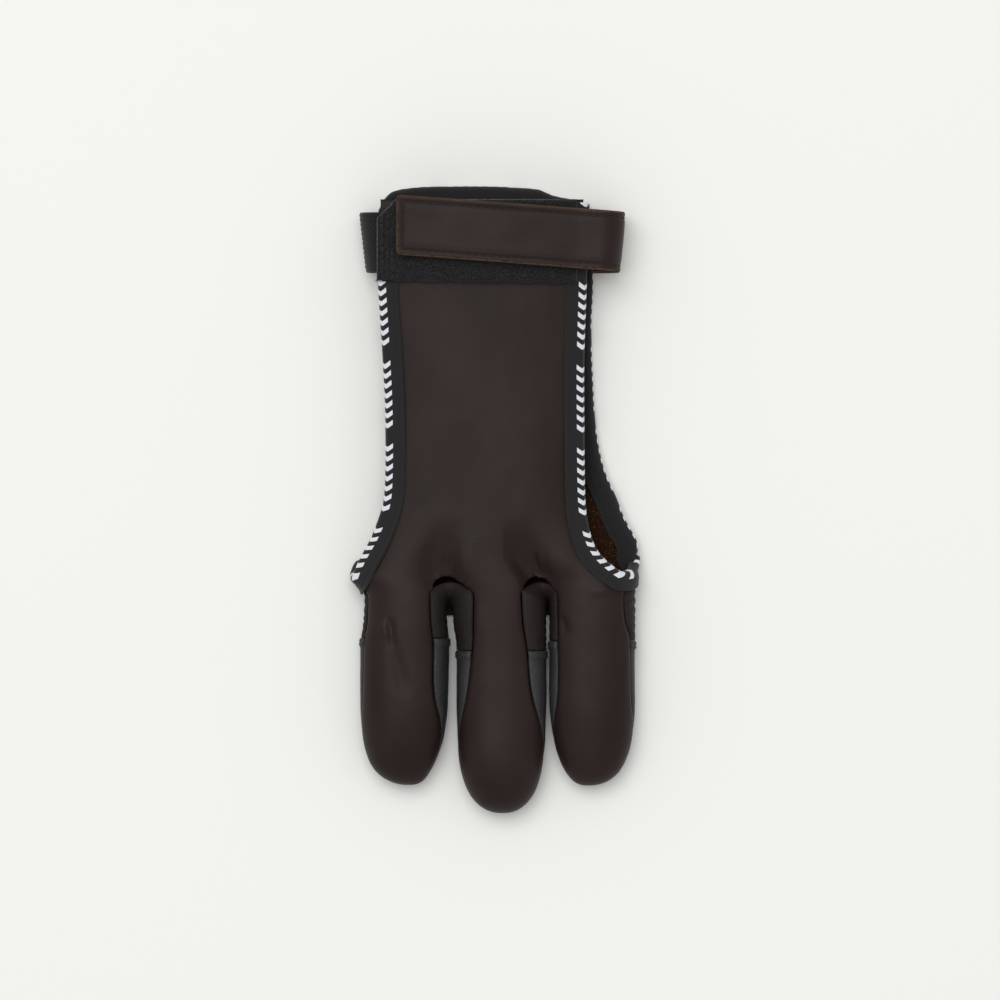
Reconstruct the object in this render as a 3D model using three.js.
import * as THREE from 'three';

// A three-finger archery glove for the right hand, lying palm side down.
// Millimetres. X runs across the hand to the thumb side, +Y to the wrist, +Z up from the table.

// Materials' thicknesses and the room between neighbours
const LEATHER = 1.0;
const STALL_WALL = 1.6;
const CLEARANCE = 0.3;

// Hand part: from the finger base line up to the wrist end of the back panel
const BASE_Y = -31;
const HAND_LENGTH = 127.3;
const HAND_WIDTH = 64;
const HAND_HEIGHT = 17;
const BACK_CROTCH_Y = -26.5;
const PALM_CROTCH_Y = -35;
const BLEND_LENGTH = 27;
const VALLEY_DEPTH = 4.2;
const PALM_LIFT = 0.3;

// Edge tape, folded over the leather
const TAPE_WIDTH = 6;
const TAPE_LEG = 0.7;
const TAPE_FOLD = TAPE_LEG + CLEARANCE;
const TAPE_ROUND = 0.35;

// Wrist strap: elastic round the palm side, leather tab over the back
const WRIST_Y = BASE_Y + HAND_LENGTH;
const STRAP_WIDTH = 19.2;
const STRAP_DOWN = 23.2;
const STRAP_LOW_Y = WRIST_Y - STRAP_DOWN;
const STRAP_LEFT = -44.2;
const STRAP_RIGHT = 41;
const ELASTIC = 1.5;
const TAB_WALL = 1.5;
const TAB_END_X = -32.2;
const TAB_SLANT = 5.4;
const STRAP_CORNER = 7.5;
const TAB_LEAN = 1.6;
const ELASTIC_LEAN = 2.2;
const ELASTIC_TUCK = 12;

// Fastener: loop pile on the back panel, hook tape under the tab
const PILE = { left: -38.4, right: 25.6, length: 25.9, cornerCut: 6, thick: 1.6 };
const PILE_LOW = WRIST_Y - PILE.length;
const HOOK = { left: -31, right: 23.5, margin: 1.6, thick: 0.9 };

// Section of a finger: rounder above its widest line, flatter below
const CROWN_POWER = 2.2;
const SOLE_POWER = 3.2;
const WAIST_SHARE = 0.38;
const PALM_SEAM = -55;
const TIP_POWER = 0.42;
const TIP_BEND = 2.3;
const TIP_LEAN_POWER = 12;

// Sizes of the fingers; lean is how far the very tip stands aside
const RING = { x: -29.5, width: 28.4, length: 60.0, height: 16.6, lean: 1.8 };
const MIDDLE = { x: 1.4, width: 28.8, length: 69.0, height: 17.6, lean: 0.4 };
const INDEX = { x: 30.5, width: 27.4, length: 60.2, height: 16.6, lean: -1.4 };

// Their shapes. `at` runs from the base line (0) to the tip (1). wide is a share of the width,
// shift a share of the half width, left and right are the heights of the back seams above the
// finger's widest line, in degrees.
const FINGERS = [
  {
    name: 'ring', ...RING, tipStart: 0.55, stallAt: 0.215,
    rows: [
      { at: 0.0, wide: 0.92, shift: 0.02, left: 20, right: 55 },
      { at: 0.12, wide: 0.94, shift: 0.01, left: 20, right: 54 },
      { at: 0.25, wide: 1.0, shift: 0.0, left: 18, right: 52 },
      { at: 0.55, wide: 0.99, shift: -0.02, left: 14, right: 46 },
      { at: 0.82, wide: 0.97, shift: -0.045, left: -6, right: 2 },
      { at: 1.0, wide: 0.97, shift: -0.05, left: -16, right: -16 },
    ],
  },
  {
    name: 'middle', ...MIDDLE, tipStart: 0.64, stallAt: 0.245,
    rows: [
      { at: 0.0, wide: 1.04, shift: -0.045, left: 59, right: 64 },
      { at: 0.12, wide: 1.03, shift: -0.035, left: 57, right: 62 },
      { at: 0.22, wide: 1.0, shift: 0.0, left: 52, right: 58 },
      { at: 0.476, wide: 1.0, shift: 0.0, left: 38, right: 46 },
      { at: 0.7, wide: 0.97, shift: 0.0, left: 2, right: 6 },
      { at: 1.0, wide: 0.95, shift: 0.0, left: -16, right: -16 },
    ],
  },
  {
    name: 'index', ...INDEX, tipStart: 0.56, stallAt: 0.23,
    rows: [
      { at: 0.0, wide: 1.0, shift: 0.0, left: 34, right: 44 },
      { at: 0.12, wide: 1.0, shift: 0.0, left: 35, right: 40 },
      { at: 0.22, wide: 1.0, shift: 0.0, left: 36, right: 26 },
      { at: 0.55, wide: 1.0, shift: 0.0, left: 34, right: 20 },
      { at: 0.76, wide: 0.98, shift: 0.015, left: 2, right: -4 },
      { at: 1.0, wide: 0.97, shift: 0.015, left: -16, right: -16 },
    ],
  },
];

// Back panel's finished edges. `at` runs from the base line (0) to the wrist end (1); left and
// right are shares of the hand's width; the edge and crown heights are shares of its height.
const BACK_ROWS = [
  { at: 0.022, left: -0.662, right: 0.636, leftHigh: 0.6, rightHigh: 0.7, crown: 1.0 },
  { at: 0.055, left: -0.72, right: 0.64, leftHigh: 0.58, rightHigh: 0.72, crown: 1.0 },
  { at: 0.071, left: -0.705, right: 0.594, leftHigh: 0.59, rightHigh: 0.76, crown: 1.0 },
  { at: 0.088, left: -0.69, right: 0.55, leftHigh: 0.61, rightHigh: 0.8, crown: 1.0 },
  { at: 0.112, left: -0.666, right: 0.502, leftHigh: 0.65, rightHigh: 0.8, crown: 1.0 },
  { at: 0.148, left: -0.626, right: 0.469, leftHigh: 0.7, rightHigh: 0.8, crown: 1.0 },
  { at: 0.191, left: -0.592, right: 0.447, leftHigh: 0.75, rightHigh: 0.78, crown: 0.99 },
  { at: 0.25, left: -0.558, right: 0.435, leftHigh: 0.77, rightHigh: 0.77, crown: 0.98 },
  { at: 0.45, left: -0.552, right: 0.43, leftHigh: 0.76, rightHigh: 0.76, crown: 0.96 },
  { at: 0.6, left: -0.565, right: 0.43, leftHigh: 0.78, rightHigh: 0.78, crown: 0.96 },
  { at: 0.79, left: -0.588, right: 0.442, leftHigh: 0.86, rightHigh: 0.86, crown: 0.98 },
  { at: 1.0, left: -0.6, right: 0.45, leftHigh: 0.92, rightHigh: 0.92, crown: 1.0 },
];

// Palm panel's finished edges, with the height that each edge curls up, a share of the height
const PALM_ROWS = [
  { at: 0.05, left: -0.635, right: 0.628, leftCurl: 0.15, rightCurl: 0.16 },
  { at: 0.09, left: -0.666, right: 0.666, leftCurl: 0.2, rightCurl: 0.22 },
  { at: 0.122, left: -0.634, right: 0.708, leftCurl: 0.22, rightCurl: 0.29 },
  { at: 0.16, left: -0.6, right: 0.678, leftCurl: 0.22, rightCurl: 0.3 },
  { at: 0.195, left: -0.57, right: 0.636, leftCurl: 0.21, rightCurl: 0.29 },
  { at: 0.25, left: -0.54, right: 0.594, leftCurl: 0.2, rightCurl: 0.26 },
  { at: 0.32, left: -0.532, right: 0.533, leftCurl: 0.18, rightCurl: 0.22 },
  { at: 0.42, left: -0.535, right: 0.492, leftCurl: 0.18, rightCurl: 0.18 },
  { at: 0.55, left: -0.548, right: 0.475, leftCurl: 0.18, rightCurl: 0.17 },
  { at: 0.68, left: -0.56, right: 0.467, leftCurl: 0.18, rightCurl: 0.17 },
  { at: 0.79, left: -0.572, right: 0.475, leftCurl: 0.1, rightCurl: 0.1 },
  { at: 1.0, left: -0.59, right: 0.462, leftCurl: 0.03, rightCurl: 0.03 },
];

// Wrist end of the palm panel: how far it stands past the back panel, a share of STEP_OUT
const STEP_OUT = 4;
const WRIST_END = [
  { at: 0, out: -0.85 },
  { at: 0.1, out: 0.62 },
  { at: 0.26, out: 1.0 },
  { at: 0.7, out: 0.86 },
  { at: 0.88, out: 0.0 },
  { at: 1, out: -0.4 },
];

// Openings' lower ends, where the tape turns from the back to the palm side
const OPENING_LEFT_Y = -24.2;
const OPENING_RIGHT_Y = -22.8;
const OPENING_SLOPE = 5.5;

// How far leather stops short of its finished edge where tape binds it
const CUT = TAPE_FOLD + CLEARANCE;
const FLUSH = 0;

const lerp = (a, b, t) => a + (b - a) * t;
const clamp01 = (t) => Math.min(1, Math.max(0, t));
const smooth = (t) => clamp01(t) ** 2 * (3 - 2 * clamp01(t));
const radians = (degrees) => (degrees * Math.PI) / 180;
const signedPower = (value, power) => Math.sign(value) * Math.abs(value) ** power;
const steps = (count) => Array.from({ length: count + 1 }, (_, i) => i / count);

// Smooth curve through one named column of a table, at a place along it
function read(rows, column, at) {
  const last = rows.length - 1;
  if (at <= rows[0].at) return rows[0][column];
  if (at >= rows[last].at) return rows[last][column];
  const i = rows.findIndex((row) => row.at > at) - 1;
  const slope = (k) => {
    const before = rows[Math.max(0, k - 1)];
    const after = rows[Math.min(last, k + 1)];
    return (after[column] - before[column]) / (after.at - before.at);
  };
  const span = rows[i + 1].at - rows[i].at;
  const t = (at - rows[i].at) / span;
  const rise = t * t * (3 - 2 * t);
  return lerp(rows[i][column], rows[i + 1][column], rise)
    + span * (slope(i) * t * (1 - t) ** 2 - slope(i + 1) * t * t * (1 - t));
}

// A finger's outer face: a point at the height y along it and the angle round it
function fingerPoint(finger, y, angle, drop = 0) {
  const at = (BASE_Y - y) / finger.length;
  const tip = clamp01((at - finger.tipStart) / (1 - finger.tipStart));
  const round = Math.max(0, 1 - tip ** TIP_BEND);
  const half = 0.5 * finger.width * read(finger.rows, 'wide', at);
  const waist = finger.height * WAIST_SHARE + PALM_LIFT;
  const power = 2 / (Math.sin(angle) >= 0 ? CROWN_POWER : SOLE_POWER);
  const reach = Math.sin(angle) >= 0 ? finger.height - finger.height * WAIST_SHARE
    : finger.height * WAIST_SHARE;
  const aside = half * read(finger.rows, 'shift', at) + finger.lean * tip ** TIP_LEAN_POWER;
  return new THREE.Vector3(
    finger.x + aside + half * round ** TIP_POWER * signedPower(Math.cos(angle), power),
    y,
    waist - drop + reach * Math.sqrt(round) * signedPower(Math.sin(angle), power),
  );
}

// The back seams of a finger, as angles round it: right one first, then left
const seamRight = (finger, y) => radians(read(finger.rows, 'right', (BASE_Y - y) / finger.length));
const seamLeft = (finger, y) =>
  Math.PI - radians(read(finger.rows, 'left', (BASE_Y - y) / finger.length));
const palmRight = radians(PALM_SEAM);
const palmLeft = radians(-180 - PALM_SEAM);
const stallY = (finger) => BASE_Y - finger.length * finger.stallAt;

// Stations along a finger from y down to its tip, closer together where the tip rounds off
function tipStations(finger, count) {
  const start = finger.tipStart * finger.length;
  return steps(count).map((t) =>
    BASE_Y - start - (finger.length - start) * Math.sin((t * Math.PI) / 2));
}
const TIP_STEPS = 6;
const SHAFT_STEPS = 3;
const stallStations = (finger) => [
  ...steps(SHAFT_STEPS).slice(0, -1).map((t) =>
    lerp(stallY(finger), BASE_Y - finger.tipStart * finger.length, t)),
  ...tipStations(finger, TIP_STEPS),
];

// Columns of a panel: strips for the three fingers and one column in each gap between them.
// Each column knows its finger and its place across the strip, or the gap that it lies in.
function panelColumns(stripSteps) {
  return FINGERS.flatMap((finger, i) => {
    const strip = steps(stripSteps).map((across) => ({ finger, across }));
    return i + 1 < FINGERS.length ? [...strip, { gap: i, across: 0.5 }] : strip;
  });
}
const BACK_STRIP = 7;
const PALM_STRIP = 4;
const backColumns = panelColumns(BACK_STRIP);
const palmColumns = panelColumns(PALM_STRIP);

const backFingerPoint = (finger, y, across) =>
  fingerPoint(finger, y, lerp(seamLeft(finger, y), seamRight(finger, y), across));
const palmFingerPoint = (finger, y, across) =>
  fingerPoint(finger, y, lerp(palmLeft, palmRight, across), CLEARANCE);

// The valley between two fingers at their base, dipping on the back
function columnPoint(column, y, pointOf, dip) {
  if (column.finger) return pointOf(column.finger, y, column.across);
  const left = pointOf(FINGERS[column.gap], y, 1);
  const right = pointOf(FINGERS[column.gap + 1], y, 0);
  return left.lerp(right, column.across).add(new THREE.Vector3(0, 0, -dip));
}

const handShare = (y) => (y - BASE_Y) / HAND_LENGTH;

// A panel edge's x at height y: the finished edge of the table, meeting the finger's seam at the
// base line, less the inset, which is measured square to the edge and so grows with its slope
const SLOPE_STEP = 0.5;
const MOST_SLOPE = 4;
function edgeX(rows, column, y, seamX, inset = 0) {
  const all = [{ at: handShare(BASE_Y), [column]: seamX / HAND_WIDTH }, ...rows];
  const finished = (place) => HAND_WIDTH * read(all, column, handShare(place));
  const slope = (finished(y + SLOPE_STEP) - finished(y - SLOPE_STEP)) / (2 * SLOPE_STEP);
  const into = column === 'left' ? 1 : -1;
  return finished(y) + into * inset * Math.hypot(1, Math.min(Math.abs(slope), MOST_SLOPE));
}
const INSET_RUN = 1.45;
const insetAt = (inset, y, openY) => (y > openY - INSET_RUN ? inset : 0);

// A panel's outer face: `share` runs between its inset edges, its height follows the finished
// ones, so leather and tape lie on the same surface
function panelPoint(edges, heightAt, share, y, inset) {
  const [from, to] = edges(y, inset);
  const [left, right] = edges(y, FLUSH);
  const x = lerp(from, to, share);
  return new THREE.Vector3(x, y, heightAt((x - left) / (right - left), y));
}

// The back panel's section at the base line, from its left seam to its right one
const baseLine = backColumns.map((column) =>
  columnPoint(column, BASE_Y, backFingerPoint, VALLEY_DEPTH));
const baseLeft = baseLine[0].x;
const baseRight = baseLine.at(-1).x;

function baseHeight(share) {
  const x = lerp(baseLeft, baseRight, clamp01(share));
  const i = Math.max(1, baseLine.findIndex((point) => point.x >= x));
  const [before, after] = [baseLine[i - 1], baseLine[i]];
  return lerp(before.z, after.z, (x - before.x) / (after.x - before.x));
}

// Back panel's outer face: the hand's low arch turning into the three fingers
function backHeight(share, y) {
  const blend = smooth((BASE_Y + BLEND_LENGTH - y) / BLEND_LENGTH);
  return lerp(archHeight(share, y), baseHeight(share), blend);
}

const backEdges = (y, inset) => [
  edgeX(BACK_ROWS, 'left', y, baseLeft, insetAt(inset, y, OPENING_LEFT_Y)),
  edgeX(BACK_ROWS, 'right', y, baseRight, insetAt(inset, y, OPENING_RIGHT_Y)),
];

function backPoint(column, y, inset = FLUSH) {
  if (y <= BASE_Y) return columnPoint(column, y, backFingerPoint, VALLEY_DEPTH);
  const base = columnPoint(column, BASE_Y, backFingerPoint, VALLEY_DEPTH);
  const share = (base.x - baseLeft) / (baseRight - baseLeft);
  return panelPoint(backEdges, backHeight, share, y, inset);
}

function archHeight(share, y) {
  const across = 2 * share - 1;
  const at = handShare(y);
  const edge = read(BACK_ROWS, across < 0 ? 'leftHigh' : 'rightHigh', at);
  const crown = read(BACK_ROWS, 'crown', at);
  return PALM_LIFT + HAND_HEIGHT * lerp(crown, edge, Math.abs(across) ** 2.6);
}

// Height of the back panel's outer face under a point of the wrist end
function backTop(x, y) {
  const left = HAND_WIDTH * read(BACK_ROWS, 'left', handShare(y));
  const right = HAND_WIDTH * read(BACK_ROWS, 'right', handShare(y));
  return archHeight(clamp01((x - left) / (right - left)), y);
}

// Palm panel's outer face: flat on the table, lifted over the elastic, its edges curling up
const CURL_START = 0.35;
const CURL_POWER = 2.4;
const WRIST_LIFT = ELASTIC + CLEARANCE + TAPE_FOLD;
const palmBase = (column) => columnPoint(column, PALM_CROTCH_Y, palmFingerPoint, 0);
const palmBaseLeft = palmBase(palmColumns[0]);
const palmBaseRight = palmBase(palmColumns.at(-1));

function palmHeight(share, y) {
  const across = 2 * share - 1;
  const side = across < 0 ? 'left' : 'right';
  const start = { at: handShare(PALM_CROTCH_Y), [`${side}Curl`]: palmBaseLeft.z / HAND_HEIGHT };
  const curl = read([start, ...PALM_ROWS], `${side}Curl`, handShare(y));
  const bend = (Math.max(0, Math.abs(across) - CURL_START) / (1 - CURL_START)) ** CURL_POWER;
  const overStrap = smooth((y - STRAP_LOW_Y + 14) / 12);
  return HAND_HEIGHT * curl * bend + WRIST_LIFT * overStrap;
}

function palmEdges(y, inset) {
  const held = Math.max(y, BASE_Y);
  const leftInset = insetAt(inset, y, OPENING_LEFT_Y + OPENING_SLOPE);
  const rightInset = insetAt(inset, y, OPENING_RIGHT_Y + OPENING_SLOPE);
  return [
    edgeX(PALM_ROWS, 'left', held, palmBaseLeft.x, leftInset),
    edgeX(PALM_ROWS, 'right', held, palmBaseRight.x, rightInset),
  ];
}

function palmPoint(column, y, inset = FLUSH) {
  if (y <= PALM_CROTCH_Y) return columnPoint(column, y, palmFingerPoint, 0);
  const share = (palmBase(column).x - palmBaseLeft.x) / (palmBaseRight.x - palmBaseLeft.x);
  return panelPoint(palmEdges, palmHeight, share, y, inset);
}

// Joins two matching grids of points, an outer and an inner face, into one closed wall. `side`
// is 1 or -1 for the way that the outer face looks.
function closedWall(outerGrid, innerGrid, side, keep = () => true) {
  const points = [];
  const seen = new Map();
  const add = (point) => {
    const key = point.toArray().map((value) => Math.round(value * 1000)).join();
    if (!seen.has(key)) {
      seen.set(key, points.length);
      points.push(point);
    }
    return seen.get(key);
  };
  const outer = outerGrid.map((row) => row.map((point) => point && add(point)));
  const inner = innerGrid.map((row) => row.map((point) => point && add(point)));
  const triangles = [];
  const face = (a, b, c) => {
    if (a === b || b === c || c === a) return;
    triangles.push(side > 0 ? [a, b, c] : [a, c, b]);
  };
  const there = (r, c) =>
    r >= 0 && c >= 0 && r + 1 < outer.length && c + 1 < outer[r].length && keep(r, c);
  const rim = ([r1, c1], [r2, c2]) => {
    face(outer[r2][c2], outer[r1][c1], inner[r1][c1]);
    face(outer[r2][c2], inner[r1][c1], inner[r2][c2]);
  };
  for (let r = 0; r + 1 < outer.length; r += 1) {
    for (let c = 0; c + 1 < outer[r].length; c += 1) {
      if (!there(r, c)) continue;
      face(outer[r][c], outer[r + 1][c], outer[r + 1][c + 1]);
      face(outer[r][c], outer[r + 1][c + 1], outer[r][c + 1]);
      face(inner[r][c], inner[r + 1][c + 1], inner[r + 1][c]);
      face(inner[r][c], inner[r][c + 1], inner[r + 1][c + 1]);
      if (!there(r, c - 1)) rim([r, c], [r + 1, c]);
      if (!there(r + 1, c)) rim([r + 1, c], [r + 1, c + 1]);
      if (!there(r, c + 1)) rim([r + 1, c + 1], [r, c + 1]);
      if (!there(r - 1, c)) rim([r, c + 1], [r, c]);
    }
  }
  const used = [...new Set(triangles.flat())];
  const place = new Map(used.map((index, i) => [index, i]));
  const positions = new Float32Array(used.flatMap((index) => points[index].toArray()));
  const geometry = new THREE.BufferGeometry();
  geometry.setAttribute('position', new THREE.BufferAttribute(positions, 3));
  geometry.setIndex(triangles.flat().map((index) => place.get(index)));
  geometry.computeVertexNormals();
  return geometry;
}

// A wall of even thickness behind a grid of outer-face points
function wall(grid, thickness, side, keep) {
  const normalAt = (r, c) => {
    const here = grid[r][c];
    const up = grid[r - 1]?.[c] ?? here;
    const down = grid[r + 1]?.[c] ?? here;
    const left = grid[r][c - 1] ?? here;
    const right = grid[r][c + 1] ?? here;
    const normal = down.clone().sub(up).cross(right.clone().sub(left)).multiplyScalar(side);
    if (normal.length() > 1e-6) return normal.normalize();
    const ring = grid[r - 1].filter(Boolean);
    return new THREE.Vector3(0, Math.sign(here.y - ring[0].y), 0);
  };
  const behind = grid.map((row, r) => row.map((point, c) =>
    point && point.clone().addScaledVector(normalAt(r, c), -thickness)));
  return closedWall(grid, behind, side, keep);
}

// Back panel: hand rows down to the base line, closer together round the thumb opening's lower
// end, then each finger's own stations
const STRAIGHT_ROWS = 9;
const THUMB_ROWS = 6;
const THUMB_BEND = 22;
const backHandYs = [
  ...steps(STRAIGHT_ROWS).map((t) => lerp(WRIST_Y, OPENING_RIGHT_Y + THUMB_BEND, t)),
  ...steps(THUMB_ROWS).slice(1).map((t) =>
    OPENING_RIGHT_Y + THUMB_BEND * (1 - Math.sin((t * Math.PI) / 2))),
  OPENING_LEFT_Y,
  BACK_CROTCH_Y,
  lerp(BACK_CROTCH_Y, BASE_Y, 0.5),
  BASE_Y,
];
const fingerStations = (finger) => [
  lerp(BASE_Y, stallY(finger), 0.5),
  ...stallStations(finger),
];

function backGrid() {
  const hand = backHandYs.map((y) => backColumns.map((column) => backPoint(column, y, CUT)));
  const bridged = backHandYs.indexOf(BACK_CROTCH_Y);
  for (let r = bridged + 1; r < hand.length; r += 1) {
    backColumns.forEach((column, c) => {
      if (!column.finger) hand[r][c] = null;
    });
  }
  const rows = fingerStations(FINGERS[0]).length;
  const fingers = Array.from({ length: rows }, (_, r) => backColumns.map((column) =>
    column.finger && backPoint(column, fingerStations(column.finger)[r])));
  return [...hand, ...fingers];
}

const wholeCell = (grid) => (r, c) =>
  Boolean(grid[r][c] && grid[r][c + 1] && grid[r + 1][c] && grid[r + 1][c + 1]);

// Palm panel: its wrist end is curved, its finger parts end at the stalls
const WRIST_ROW_Y = STRAP_LOW_Y - 3;
const PALM_MIDDLE_Y = 14;
const PALM_ROW_COUNT = 6;
const CORNER_DROP = 1.5;
const PALM_CORNERS = [OPENING_RIGHT_Y, OPENING_LEFT_Y].map((y) => y + OPENING_SLOPE);
const palmHandYs = [
  ...steps(PALM_ROW_COUNT).map((t) => lerp(WRIST_ROW_Y, PALM_MIDDLE_Y, t)),
  ...steps(PALM_ROW_COUNT).slice(1).map((t) => lerp(PALM_MIDDLE_Y, PALM_CORNERS[0], t)),
  PALM_CORNERS[1],
  PALM_CORNERS[1] - CORNER_DROP,
  lerp(PALM_CORNERS[1] - CORNER_DROP, PALM_CROTCH_Y, 0.5),
  PALM_CROTCH_Y,
];
const wristEnd = (share) => WRIST_Y + STEP_OUT * read(WRIST_END, 'out', share);
function palmGrid() {
  const wrist = [0, 0.35, 0.7].map((t) => palmColumns.map((column, c) => {
    const top = wristEnd(c / (palmColumns.length - 1)) - CUT;
    return palmPoint(column, lerp(top, WRIST_ROW_Y, t), CUT);
  }));
  const palm = palmHandYs.map((y) => palmColumns.map((column) => palmPoint(column, y, CUT)));
  const ends = palmColumns.map((column) =>
    column.finger && palmPoint(column, stallY(column.finger) + CLEARANCE / 2));
  return [...wrist, ...palm, ends];
}

// Outer side walls of the ring and index fingers, between the two panels' edges. Their columns
// run round the finger from the back seam (0) to the palm seam (1); the palm seam's column stops
// short, clear of the tape's corner.
const GUSSET_ROWS = 4;
const TAPED_ROUNDS = [0.05, 0.2, 0.35, 0.5, 0.7];
const PALM_SEAM_ROUND = 1;
const CORNER_TRIM = 1.6;
const SEAM_GAP = 2.6;
const PALM_GAP = 7;
const TIP_GAP = 7;
const openEnd = (openY, round) => openY + OPENING_SLOPE * smooth(round);
function gussetPoint(finger, isLeft, openY, round, y) {
  const backEdge = isLeft ? backColumns[0] : backColumns.at(-1);
  const palmEdge = isLeft ? palmColumns[0] : palmColumns.at(-1);
  const way = isLeft ? 1 : -1;
  const held = Math.min(y, openY);
  const seam = isLeft ? seamLeft(finger, held) : seamRight(finger, held);
  const sole = isLeft ? palmLeft + 2 * Math.PI : palmRight;
  const toBack = backPoint(backEdge, held).sub(fingerPoint(finger, held, seam));
  const toPalm = palmPoint(palmEdge, y).sub(fingerPoint(finger, y, sole, CLEARANCE));
  const angle = lerp(seam + way * radians(SEAM_GAP), sole - way * radians(PALM_GAP), round);
  const place = fingerPoint(finger, y, angle, CLEARANCE);
  return place.addScaledVector(toBack, 1 - round).addScaledVector(toPalm, round);
}

function gussetGrid(finger, isLeft, openY) {
  const underTape = [CUT + 2 * CLEARANCE, TAPE_WIDTH / 2];
  const end = stallY(finger) + CLEARANCE / 2;
  const pointsAt = (placeY) => [...TAPED_ROUNDS, PALM_SEAM_ROUND].map((round) => {
    const trim = round === PALM_SEAM_ROUND ? CORNER_TRIM : 0;
    return gussetPoint(finger, isLeft, openY, round, placeY(openEnd(openY, round) - trim));
  });
  return [
    ...underTape.map((into) => pointsAt((top) => top - into)),
    ...steps(GUSSET_ROWS).map((down) => pointsAt((top) => lerp(top - TAPE_WIDTH, end, down))),
  ];
}

// Side walls between two fingers: down one, round the crotch and along the other
const FOURCHETTE_ROWS = 4;
const FOURCHETTE_TURN = 4;
const FOURCHETTE_COLUMNS = 6;
const CROTCH_ROUND = 1.4;
function fourchetteGrid(left, right) {
  const gap = radians(SEAM_GAP);
  const palmGap = radians(PALM_GAP);
  const onLeft = (y, round) =>
    backAdjusted(left, 1, y, round, lerp(seamRight(left, y) - gap, palmRight + palmGap, round));
  const onRight = (y, round) => backAdjusted(right, 0, y, round,
    lerp(seamLeft(right, y) + gap, palmLeft + 2 * Math.PI - palmGap, round));
  const drop = (round) => Math.sin((round * Math.PI) / 2);
  const crotch = (round) =>
    lerp(BACK_CROTCH_Y, PALM_CROTCH_Y, drop(round)) - 3 * CLEARANCE - LEATHER;
  const rounds = steps(FOURCHETTE_COLUMNS);
  const side = (onFinger, finger) => steps(FOURCHETTE_ROWS).slice(1).map((t) =>
    rounds.map((round) =>
      onFinger(lerp(crotch(round), stallY(finger) + CLEARANCE / 2, t), round)));
  const turn = steps(FOURCHETTE_TURN).map((t) => rounds.map((round) => {
    const y = crotch(round);
    const bow = Math.sin(Math.PI * t);
    const place = onLeft(y, round).lerp(onRight(y, round), t);
    place.y += CROTCH_ROUND * bow * Math.sin(Math.PI * round) ** 2;
    place.z -= VALLEY_DEPTH * bow * (1 - round) ** 2;
    return place;
  }));
  return [...side(onLeft, left).reverse(), ...turn, ...side(onRight, right)];
}

// A fourchette point follows the back panel's edge above the base line
function backAdjusted(finger, across, y, round, angle) {
  const place = fingerPoint(finger, y, angle, CLEARANCE);
  const edge = backPoint({ finger, across }, y).sub(backFingerPoint(finger, y, across));
  return place.addScaledVector(edge, 1 - round);
}

// Fingertip guards: round the sides and the palm side, closed at the tip
const STALL_COLUMNS = 12;
function stallGrid(finger) {
  const rows = stallStations(finger);
  rows[0] -= CLEARANCE / 2;
  return rows.map((y, r) => steps(STALL_COLUMNS).map((round) => {
    const gap = radians(lerp(SEAM_GAP, TIP_GAP, r / rows.length));
    const from = seamLeft(finger, y) + gap - 2 * Math.PI;
    const to = seamRight(finger, y) - gap;
    return fingerPoint(finger, y, lerp(from, to, round), CLEARANCE);
  }));
}

// Section of the tape, folded round an edge: how far in from the edge and how high off the
// leather's outer face each point lies, on the tape's outside and on its inside
const INNER_ROUND = TAPE_ROUND / 2;
const upperLeg = [
  { into: TAPE_WIDTH, high: TAPE_FOLD, roomInto: TAPE_WIDTH, roomHigh: CLEARANCE },
  { into: TAPE_WIDTH / 2, high: TAPE_FOLD, roomInto: TAPE_WIDTH / 2, roomHigh: CLEARANCE },
  { into: TAPE_ROUND, high: TAPE_FOLD, roomInto: TAPE_LEG + INNER_ROUND, roomHigh: CLEARANCE },
  { into: 0, high: TAPE_FOLD - TAPE_ROUND, roomInto: TAPE_LEG, roomHigh: CLEARANCE - INNER_ROUND },
];
const lowerLeg = upperLeg.map((point) => ({
  ...point,
  high: -LEATHER - point.high,
  roomHigh: -LEATHER - point.roomHigh,
})).reverse();
const tapeSection = [...upperLeg, ...lowerLeg];

// A station of the tape: `surface` gives the leather's outer face at a distance in from the
// edge and along it; nothing reaches below the table, where the tape is pressed flat
const PROBE = 1;
function station(surface, outward) {
  return (into, high) => {
    const here = surface(into, 0);
    const inward = surface(into + PROBE, 0).sub(here);
    const along = surface(into, PROBE).sub(surface(into, -PROBE));
    const normal = inward.cross(along).normalize();
    if (normal.dot(outward) < 0) normal.negate();
    const place = here.addScaledVector(normal, high);
    place.z = Math.max(0, place.z);
    return place;
  };
}

// On a panel: across its edge at (x, y), in the direction `inward`
const UP = new THREE.Vector3(0, 0, 1);
const DOWN = new THREE.Vector3(0, 0, -1);
function panelStation(edges, heightAt, outward, isLeft, y, inward) {
  const start = edges(y, FLUSH)[isLeft ? 0 : 1];
  return station((into, along) => {
    const x = start + inward.x * into - inward.y * along;
    const placeY = y + inward.y * into + inward.x * along;
    const [left, right] = edges(placeY, FLUSH);
    return new THREE.Vector3(x, placeY, heightAt((x - left) / (right - left), placeY));
  }, outward);
}

// The direction into the leather, square to a panel's edge in plan
function squareTo(edges, isLeft, y) {
  const side = isLeft ? 0 : 1;
  const run = edges(y + SLOPE_STEP, FLUSH)[side] - edges(y - SLOPE_STEP, FLUSH)[side];
  const way = isLeft ? 1 : -1;
  return new THREE.Vector2(way, (-way * run) / (2 * SLOPE_STEP)).normalize();
}

const onBack = (isLeft) => (y) =>
  panelStation(backEdges, backHeight, UP, isLeft, y, squareTo(backEdges, isLeft, y));
const onPalm = (isLeft) => (y) =>
  panelStation(palmEdges, palmHeight, DOWN, isLeft, y, squareTo(palmEdges, isLeft, y));

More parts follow.
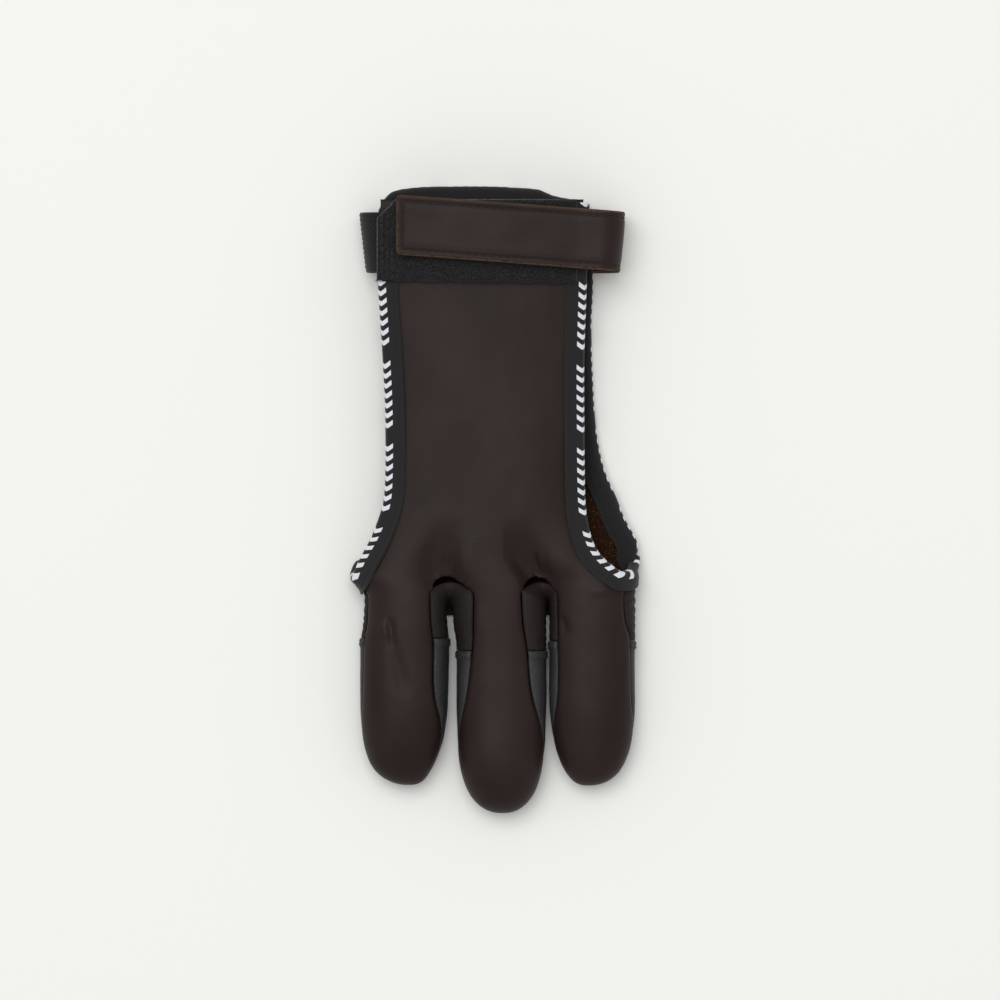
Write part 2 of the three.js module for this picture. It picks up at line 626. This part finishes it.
// Round the side wall's end
const ROUND_LENGTH = 3;
function onSide(finger, isLeft, openY) {
  const outward = new THREE.Vector3(isLeft ? -1 : 1, 0, 0);
  return (round) => station((into, along) => {
    const place = round + along / ROUND_LENGTH;
    return gussetPoint(finger, isLeft, openY, place, openEnd(openY, place) - into);
  }, outward);
}

// Round the back panel's corner, turning from square to its edge to straight down its seam
const LEFT_TURN = 0.6;
const RIGHT_TURN = 0.4;
function onCorner(isLeft, openY, lastY) {
  const side = isLeft ? 0 : 1;
  const run = backEdges(openY - TAPE_WIDTH, FLUSH)[side] - backEdges(openY, FLUSH)[side];
  const seam = new THREE.Vector2(run, -TAPE_WIDTH).normalize();
  const turned = seam.lerp(squareTo(backEdges, isLeft, lastY), isLeft ? LEFT_TURN : RIGHT_TURN);
  return panelStation(backEdges, backHeight, UP, isLeft, openY, turned.normalize());
}

// Tape of an opening: down the back panel, round the side wall's end, up the palm panel
function openingTape(finger, isLeft, openY) {
  const corner = openY + OPENING_SLOPE;
  const backYs = backHandYs.filter((y) => y < PILE_LOW - CLEARANCE && y > openY + CLEARANCE);
  const palmTop = wristEnd(isLeft ? 0 : 1) - TAPE_WIDTH - CLEARANCE;
  const palmYs = palmHandYs.filter((y) => y > corner + CLEARANCE).reverse();
  const stations = [
    ...[PILE_LOW - CLEARANCE, ...backYs].map(onBack(isLeft)),
    onCorner(isLeft, openY, backYs.at(-1)),
    ...TAPED_ROUNDS.map(onSide(finger, isLeft, openY)),
    ...[...palmYs, palmTop].map(onPalm(isLeft)),
  ];
  return tapeWall(stations, isLeft ? -1 : 1);
}

// Tape on the palm panel's wrist end
function wristTape() {
  const stations = steps(palmColumns.length - 1).map((share, c) => station((into, along) => {
    const place = palmPoint(palmColumns[c], wristEnd(share) - into);
    const beside = palmPoint(palmColumns[Math.min(c + 1, palmColumns.length - 1)], place.y);
    const before = palmPoint(palmColumns[Math.max(c - 1, 0)], place.y);
    return place.addScaledVector(beside.sub(before), along / HAND_WIDTH);
  }, DOWN));
  return tapeWall(stations, -1);
}

function tapeWall(stations, side) {
  const outside = stations.map((at) => tapeSection.map(({ into, high }) => at(into, high)));
  const inside = stations.map((at) =>
    tapeSection.map(({ roomInto, roomHigh }) => at(roomInto, roomHigh)));
  return closedWall(outside, inside, side);
}

// Flat layers that follow the back panel at the wrist: pile, hook tape and tab
function layerGrid(xs, lowAt, highAt, levelAt) {
  return [1, 0.5, 0].map((t) => xs.map((x) => {
    const y = lerp(lowAt(x), highAt(x), t);
    return new THREE.Vector3(x, y, levelAt(x, y));
  }));
}
const LAYER_STEPS = 8;
const across = (left, right) => steps(LAYER_STEPS).map((t) => lerp(left, right, t));
const pileLevel = (x, y) => backTop(x, y) + CLEARANCE + PILE.thick;
const hookLevel = (x, y) => pileLevel(x, y) + CLEARANCE + HOOK.thick;
const tabLevel = (x, y) => hookLevel(x, y) + CLEARANCE + TAB_WALL;
const slant = (x) => (TAB_SLANT * (STRAP_RIGHT - x)) / (STRAP_RIGHT - TAB_END_X);

function pilePad() {
  const high = (x) => WRIST_Y - Math.max(0, PILE.cornerCut - (x - PILE.left));
  const xs = [PILE.left, PILE.left + PILE.cornerCut, ...across(PILE.left, PILE.right).slice(2)];
  return wall(layerGrid(xs, () => PILE_LOW, high, pileLevel), PILE.thick, 1);
}

function hookTape() {
  const low = (x) => STRAP_LOW_Y + slant(x) + HOOK.margin;
  const high = (x) => STRAP_LOW_Y + STRAP_WIDTH + slant(x) - HOOK.margin;
  return wall(layerGrid(across(HOOK.left, HOOK.right), low, high, hookLevel), HOOK.thick, 1);
}

// The strap's loop seen from the wrist: x and z of its outer face
const CORNER_STEPS = 5;
function corner(centreX, centreZ, radius, from, to) {
  return steps(CORNER_STEPS).map((t) => {
    const angle = radians(lerp(from, to, t));
    return [centreX + radius * Math.cos(angle), centreZ + radius * Math.sin(angle)];
  });
}

// The loop leans in towards its lower edge, so its ends aren't square to the wrist
function bandWall(path, thickness, shift, leftLean) {
  const lean = (x) => (x > 0 ? -TAB_LEAN * (x / STRAP_RIGHT) : leftLean * (x / STRAP_LEFT));
  const grid = path.map(([x, z]) => [
    new THREE.Vector3(x + lean(x), STRAP_LOW_Y + shift(x, z), z),
    new THREE.Vector3(x, STRAP_LOW_Y + STRAP_WIDTH + shift(x, z), z),
  ]);
  return wall(grid, thickness, 1);
}

const tabJoin = -STRAP_CORNER * 0.4;
function closingTab() {
  const flat = across(TAB_END_X, STRAP_RIGHT - STRAP_CORNER).slice(0, -1);
  const highest = STRAP_LOW_Y + STRAP_WIDTH;
  const top = flat.map((x) => [x, tabLevel(Math.min(x, PILE.right), highest + slant(x))]);
  const end = top.at(-1)[1];
  const path = [
    ...top,
    ...corner(STRAP_RIGHT - STRAP_CORNER, end - STRAP_CORNER, STRAP_CORNER, 90, 0),
    ...corner(STRAP_RIGHT - STRAP_CORNER, STRAP_CORNER, STRAP_CORNER, 0, -90),
    [STRAP_RIGHT - STRAP_CORNER + tabJoin, 0],
  ];
  const middleZ = end / 2;
  return bandWall(path, TAB_WALL, (x, z) => (z > middleZ ? slant(x) : 0), 0);
}

function wristElastic() {
  const tuckZ = backTop(PILE.left, STRAP_LOW_Y) - LEATHER - CLEARANCE;
  const turn = tuckZ / 2;
  const centreX = STRAP_LEFT + turn;
  const path = [
    [STRAP_RIGHT - STRAP_CORNER + tabJoin - CLEARANCE, 0],
    ...across(STRAP_RIGHT - STRAP_CORNER * 2, centreX).slice(0, -1).map((x) => [x, 0]),
    ...corner(centreX, turn, turn, 270, 90),
    [STRAP_LEFT + ELASTIC_TUCK, tuckZ],
  ];
  return bandWall(path, ELASTIC, () => 0, ELASTIC_LEAN);
}

// Finishes, from the photograph
const finish = (color, roughness) =>
  new THREE.MeshStandardMaterial({ color, roughness, metalness: 0 });
const brownLeather = finish(0x31292a, 0.55);
const brownSuede = finish(0x2d2423, 0.8);
const blackLeather = finish(0x2b2b2d, 0.6);
const blackTape = finish(0x2e2e2f, 0.85);
const blackPile = finish(0x202021, 0.95);
const blackHook = finish(0x1c1c1d, 0.7);
const blackElastic = finish(0x1f1f1e, 0.9);

const glove = new THREE.Group();
glove.name = 'archery_glove';
function piece(name, geometry, material) {
  const mesh = new THREE.Mesh(geometry, material);
  mesh.name = name;
  glove.add(mesh);
}

const backLeather = backGrid();
const palmLeather = palmGrid();
const [ring, middle, index] = FINGERS;
piece('back_panel', wall(backLeather, LEATHER, 1, wholeCell(backLeather)), brownLeather);
piece('palm_panel', wall(palmLeather, LEATHER, -1, wholeCell(palmLeather)), brownSuede);
piece('fourchette_ring_middle', wall(fourchetteGrid(ring, middle), LEATHER, -1), brownLeather);
piece('fourchette_middle_index', wall(fourchetteGrid(middle, index), LEATHER, -1), brownLeather);
piece('gusset_little', wall(gussetGrid(ring, true, OPENING_LEFT_Y), LEATHER, -1), brownLeather);
piece('gusset_thumb', wall(gussetGrid(index, false, OPENING_RIGHT_Y), LEATHER, 1), brownLeather);
for (const finger of FINGERS) {
  piece(`stall_${finger.name}`, wall(stallGrid(finger), STALL_WALL, -1), blackLeather);
}
piece('binding_little', openingTape(ring, true, OPENING_LEFT_Y), blackTape);
piece('binding_thumb', openingTape(index, false, OPENING_RIGHT_Y), blackTape);
piece('binding_wrist', wristTape(), blackTape);
piece('pile_pad', pilePad(), blackPile);
piece('hook_tape', hookTape(), blackHook);
piece('closing_tab', closingTab(), brownLeather);
piece('wrist_elastic', wristElastic(), blackElastic);

export default glove;
